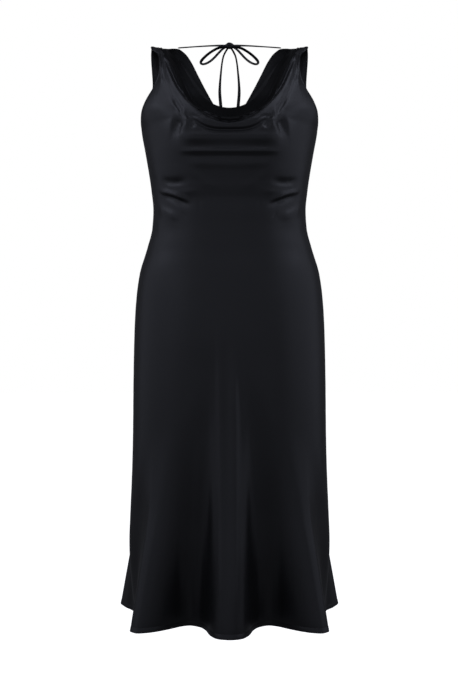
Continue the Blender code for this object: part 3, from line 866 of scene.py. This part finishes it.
def stitchNodes(name, shape):
    # a node group that sets one stitch after another along a line
    group = bpy.data.node_groups.new(name, "GeometryNodeTree")
    inputs = (
        ("Line", "Geometry", None),
        ("Pitch", "Float", 0.0028),
        ("Unevenness", "Float", 0.06),
        ("Seed", "Int", 0),
        ("Thread", "Material", None),
    )
    addSockets(group, inputs, (("Stitches", "Geometry"),))
    nodes, links = group.nodes, group.links
    given, made = nodes.new("NodeGroupInput"), nodes.new("NodeGroupOutput")

    # the line, cut into places a pitch apart
    curve = nodes.new("GeometryNodeMeshToCurve")
    spaced = nodes.new("GeometryNodeResampleCurve")
    spaced.mode = "LENGTH"
    links.new(given.outputs["Line"], curve.inputs["Mesh"])
    links.new(curve.outputs["Curve"], spaced.inputs["Curve"])
    links.new(given.outputs["Pitch"], spaced.inputs["Length"])

    # each stitch lies along the line and is a little longer or shorter than the next
    tangent = nodes.new("GeometryNodeInputTangent")
    turned = nodes.new("FunctionNodeAlignRotationToVector")
    turned.axis = "X"
    links.new(tangent.outputs["Tangent"], turned.inputs["Vector"])
    uneven = nodes.new("FunctionNodeRandomValue")
    uneven.data_type = "FLOAT"
    least, most = [socket for socket in uneven.inputs if socket.type == "VALUE"][:2]
    links.new(mathNode(group, "SUBTRACT", 1.0, given.outputs["Unevenness"]), least)
    links.new(mathNode(group, "ADD", 1.0, given.outputs["Unevenness"]), most)
    links.new(given.outputs["Seed"], uneven.inputs["Seed"])

    stitch = nodes.new("GeometryNodeObjectInfo")
    stitch.inputs["Object"].default_value = shape
    placed = nodes.new("GeometryNodeInstanceOnPoints")
    links.new(spaced.outputs["Curve"], placed.inputs["Points"])
    links.new(stitch.outputs["Geometry"], placed.inputs["Instance"])
    links.new(turned.outputs["Rotation"], placed.inputs["Rotation"])
    links.new(next(socket for socket in uneven.outputs if socket.type == "VALUE"), placed.inputs["Scale"])
    real = nodes.new("GeometryNodeRealizeInstances")
    painted = nodes.new("GeometryNodeSetMaterial")
    links.new(placed.outputs["Instances"], real.inputs["Geometry"])
    links.new(real.outputs["Geometry"], painted.inputs["Geometry"])
    links.new(given.outputs["Thread"], painted.inputs["Material"])
    links.new(painted.outputs["Geometry"], made.inputs["Stitches"])
    return group


def oneStitch():
    # a short thread, thick in the middle and thin at its ends, which lies half sunk in the cloth
    steps, sides = stitching["steps"], stitching["sides"]
    rings = []
    for i in range(steps + 1):
        t = i / steps * 2 - 1
        radius = stitching["thick"] / 2 * math.sqrt(max(stitching["tip"], 1 - abs(t) ** 3))
        for j in range(sides):
            a = 2 * math.pi * j / sides
            place = (t * stitching["long"] / 2, radius * math.cos(a), radius * math.sin(a))
            rings.append([value * mm for value in place])
    mesh = bpy.data.meshes.new("oneStitch")
    mesh.from_pydata(rings, [], [face[::-1] for face in tubeFaces(steps + 1, sides)])
    mesh.uv_layers.new(name="cloth")
    mesh.shade_smooth()
    return bpy.data.objects.new("oneStitch", mesh)


shape = oneStitch()
stitchGroup = stitchNodes("stitchRun", shape)
stitches = []
for number, row in enumerate(stitching["runs"]):
    run = dict(zip(stitching["runColumns"], row))
    line = insetLine(frontGrid if run["panel"] == "front" else backGrid, run["line"], run["inset"]) * mm
    lineMesh = bpy.data.meshes.new(run["name"])
    lineMesh.from_pydata(line.tolist(), [(i, i + 1) for i in range(len(line) - 1)], [])
    piece = addPiece(run["name"], lineMesh)
    sewn = piece.modifiers.new("sewn", "NODES")
    sewn.node_group = stitchGroup
    settings = {
        "Pitch": stitching["pitch"] * mm, "Unevenness": stitching["unevenness"],
        "Seed": stitching["seed"] + number, "Thread": thread,
    }
    for item in stitchGroup.interface.items_tree:
        if item.in_out == "INPUT" and item.name in settings:
            sewn[item.identifier] = settings[item.name]
    made = bpy.data.meshes.new_from_object(piece.evaluated_get(bpy.context.evaluated_depsgraph_get()))
    piece.modifiers.clear()
    piece.data = made
    bpy.data.meshes.remove(lineMesh)
    made.name = run["name"]
    stitches.append(piece)
bpy.data.objects.remove(shape)
print("stitches made", sum(len(piece.data.polygons) for piece in stitches))

# A pale floor below the hanging dress, and a plain white studio.
studio = {
    "floorDrop": 0.22, "floorSize": 30.0,
    "floorColour": (0.88, 0.88, 0.88), "floorRoughness": 0.9, "floorGlow": 1.0,
    "paper": (1.0, 1.0, 1.0), "fill": (0.067, 0.069, 0.078), "aim": (0, 0, -0.62),
    "lightColumns": ("name", "azimuth", "height", "distance", "width", "tall", "power"),
    "lights": (
        ("frontLow", -8, -0.55, 2.4, 3.2, 1.5, 3.7),
        ("frontHigh", -6, 1.05, 2.4, 3.2, 0.8, 4.25),
        ("highLeft", -60, 1.75, 1.5, 1.6, 1.2, 6.9),
        ("highRight", 60, 1.75, 1.5, 1.6, 1.2, 8.6),
        ("sideLeft", -82, -0.1, 2.4, 3.2, 2.2, 7.3),
        ("sideRight", 82, -0.1, 2.4, 3.2, 2.2, 8.3),
        ("quarterLeft", -48, -0.2, 2.4, 0.7, 2.2, 0.9),
        ("nearRight", 35, -0.5, 2.4, 0.6, 1.8, 0.8),
        ("upperLeft", -80, 0.9, 2.2, 1.2, 0.9, 3.0),
        ("upperRight", 80, 0.9, 2.2, 1.2, 0.9, 2.4),
    ),
    "tint": (0.77, 0.81, 1.0),
}
aim = Vector(studio["aim"])
for row in studio["lights"]:
    light = dict(zip(studio["lightColumns"], row))
    lamp = bpy.data.lights.new(light["name"], "AREA")
    lamp.shape = "RECTANGLE"
    lamp.size, lamp.size_y = light["width"], light["tall"]
    lamp.energy, lamp.color = light["power"], studio["tint"]
    stand = bpy.data.objects.new(light["name"], lamp)
    bpy.context.scene.collection.objects.link(stand)
    turn, away = math.radians(light["azimuth"]), light["distance"]
    stand.location = (away * math.sin(turn), -away * math.cos(turn), light["height"])
    stand.rotation_euler = (aim - stand.location).to_track_quat("-Z", "Y").to_euler()

# The camera sees white paper all round; the cloth is lit by a faint even fill instead.
world = bpy.data.worlds.new("paperStudio")
world.use_nodes = True
bpy.context.scene.world = world
nodes, links = world.node_tree.nodes, world.node_tree.links
background = nodes["Background"]
rays, choice = nodes.new("ShaderNodeLightPath"), nodes.new("ShaderNodeMix")
choice.data_type = "RGBA"
chosen = {socket.identifier: socket for socket in [*choice.inputs, *choice.outputs]}
chosen["A_Color"].default_value = (*studio["fill"], 1)
chosen["B_Color"].default_value = (*studio["paper"], 1)
links.new(rays.outputs["Is Camera Ray"], chosen["Factor_Float"])
links.new(chosen["Result_Color"], background.inputs["Color"])
background.inputs["Strength"].default_value = 1.0
bpy.context.scene.view_settings.view_transform = "Standard"

floorMesh = bpy.data.meshes.new("studioFloor")
half = studio["floorSize"] / 2
low = form["hem"] * mm - studio["floorDrop"]
corners = [(-half, -half, low), (half, -half, low), (half, half, low), (-half, half, low)]
floorMesh.from_pydata(corners, [], [(0, 1, 2, 3)])
floorPaint = bpy.data.materials.new("studioFloor")
floorPaint.use_nodes = True
paint = floorPaint.node_tree.nodes["Principled BSDF"]
for socket, value in (
    ("Base Color", (*studio["floorColour"], 1)), ("Roughness", studio["floorRoughness"]),
    ("Emission Color", (*studio["paper"], 1)), ("Emission Strength", studio["floorGlow"]),
):
    paint.inputs[socket].default_value = value
floor = addPiece("studioFloor", floorMesh, floorPaint)
floor.visible_glossy = False
floor.visible_diffuse = False
print("studio set")

# What each piece rides on, and which of the part's pieces it stands for, which are hidden
for sideName, (string, line) in strings.items():
    lower = sideName.lower()
    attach(string, "root")
    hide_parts("tie_span_" + lower, "bow_loop_" + lower, "tie_tail_" + lower)
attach(bow, "root")
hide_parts("bow_knot")
for stitch in stitches:
    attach(stitch, "root")
for sheet, node, look in ((frontSheet, "front", front), (backSheet, "back", back)):
    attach(sheet, "root")
    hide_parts(node)
    faces = sheet.data.polygons
    area = sum(face.area for face in faces) / 2
    triangles = sum(len(face.vertices) - 2 for face in faces)
    print(sheet.name, "cloth area", round(area, 4), "triangles", triangles)
